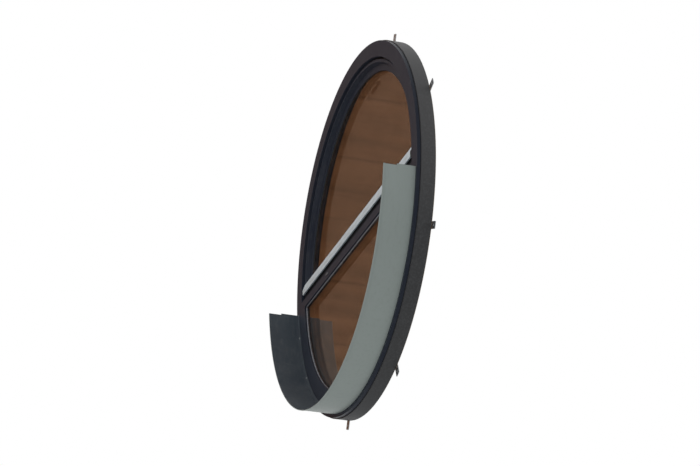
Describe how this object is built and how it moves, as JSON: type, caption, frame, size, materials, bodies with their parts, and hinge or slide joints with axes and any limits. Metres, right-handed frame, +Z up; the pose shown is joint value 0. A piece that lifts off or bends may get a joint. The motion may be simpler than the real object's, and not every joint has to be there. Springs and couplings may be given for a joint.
{
  "type": "round window",
  "caption": "Round timber window clad in dark aluminium, with a fixed lower light, an inward tilting upper sash and a curved metal sill.",
  "frame": {"origin": "centre of the ring in the room face of its timber, where the fixing lugs bear on the wall", "axes": "+X to the right seen from outside, +Y into the room, +Z up"},
  "size_m": [2.0458, 0.3355, 2.0458],
  "materials": {
    "timber": "clear lacquered laminated softwood",
    "cladding": "anthracite satin powder coat",
    "sill_sheet": "slate coil-coated aluminium, pale protective lacquer on the back",
    "silver_aluminium": "natural anodised",
    "black_aluminium": "black anodised",
    "clip_plastic": "moulded black plastic",
    "pane_glass": "bronze sun-control coating on float",
    "spacer_steel": "dull steel with desiccant slots",
    "sealant": "black edge sealant",
    "seal_rubber": "extruded seal",
    "zinc_steel": "zinc plated",
    "satin_fittings": "satin anodised"
  },
  "bodies": {
    "frame": {"frame_ring": "timber", "transom": "timber", "cladding_arch": "cladding", "cladding_lower": "cladding", "cladding_transom": "cladding", "cladding_clips": "clip_plastic", "rain_rail": "black_aluminium", "rebate_gasket": "seal_rubber", "lower_pane_outer": "pane_glass", "lower_pane_inner": "pane_glass", "lower_spacer": "spacer_steel", "lower_edge_seal": "sealant", "lower_gasket_outer": "seal_rubber", "lower_gasket_inner": "seal_rubber", "lower_bead_arc": "timber", "lower_bead_top": "timber", "lower_setting_blocks": "clip_plastic", "sill": "sill_sheet", "sill_screws": "zinc_steel", "fixing_lugs": "zinc_steel", "frame_screws": "zinc_steel", "keep": "zinc_steel", "sealing_tape": "seal_rubber", "hinge_frame_leaf_left": "satin_fittings", "hinge_frame_leaf_centre": "satin_fittings", "hinge_frame_leaf_right": "satin_fittings", "hinge_pin_left": "zinc_steel", "hinge_pin_centre": "zinc_steel", "hinge_pin_right": "zinc_steel", "stay_bracket": "satin_fittings", "stay_pivot": "zinc_steel"},
    "sash": {"sash_arch": "timber", "sash_rail": "timber", "sash_cladding_arch": "cladding", "sash_cladding_rail": "cladding", "sash_clips": "clip_plastic", "weather_bar": "silver_aluminium", "overlap_gasket": "seal_rubber", "upper_pane_outer": "pane_glass", "upper_pane_inner": "pane_glass", "upper_spacer": "spacer_steel", "upper_edge_seal": "sealant", "upper_gasket_outer": "seal_rubber", "upper_gasket_inner": "seal_rubber", "upper_bead_arc": "timber", "upper_bead_bottom": "timber", "upper_setting_blocks": "clip_plastic", "hinge_sash_leaf_left": "satin_fittings", "hinge_sash_leaf_centre": "satin_fittings", "hinge_sash_leaf_right": "satin_fittings", "stay_slide": "satin_fittings", "lock_case": "zinc_steel", "faceplate": "zinc_steel", "rosette": "satin_fittings", "sash_screws": "zinc_steel"},
    "handle": {"handle": "satin_fittings", "spindle_cam": "zinc_steel"},
    "bolt": {"lock_bolt": "zinc_steel"},
    "stay": {"stay_arm": "satin_fittings"}
  },
  "joints": [
    {"name": "sash_tilt", "type": "hinge", "parent": "frame", "child": "sash", "pos_m": [0, 0.0245, -0.01], "axis": [-1, 0, 0], "range_deg": [0, 8]},
    {"name": "handle_turn", "type": "hinge", "parent": "sash", "child": "handle", "pos_m": [0, 0, 0.912], "axis": [0, -1, 0], "range_deg": [0, 90]},
    {"name": "bolt_slide", "type": "slide", "parent": "sash", "child": "bolt", "axis": [0, 0, 1], "range_m": [0, 0.01401]},
    {"name": "stay_swing", "type": "hinge", "parent": "frame", "child": "stay", "pos_m": [-0.2, 0.028, 0.984], "axis": [0, 0, 1], "range_deg": [0, 22.4]}
  ],
  "couplings": [
    {"joint": "bolt_slide", "follows": "handle_turn", "m_per_rad": 0.0089127},
    {"joint": "stay_swing", "follows": "sash_tilt", "ratio": 2.785}
  ]
}
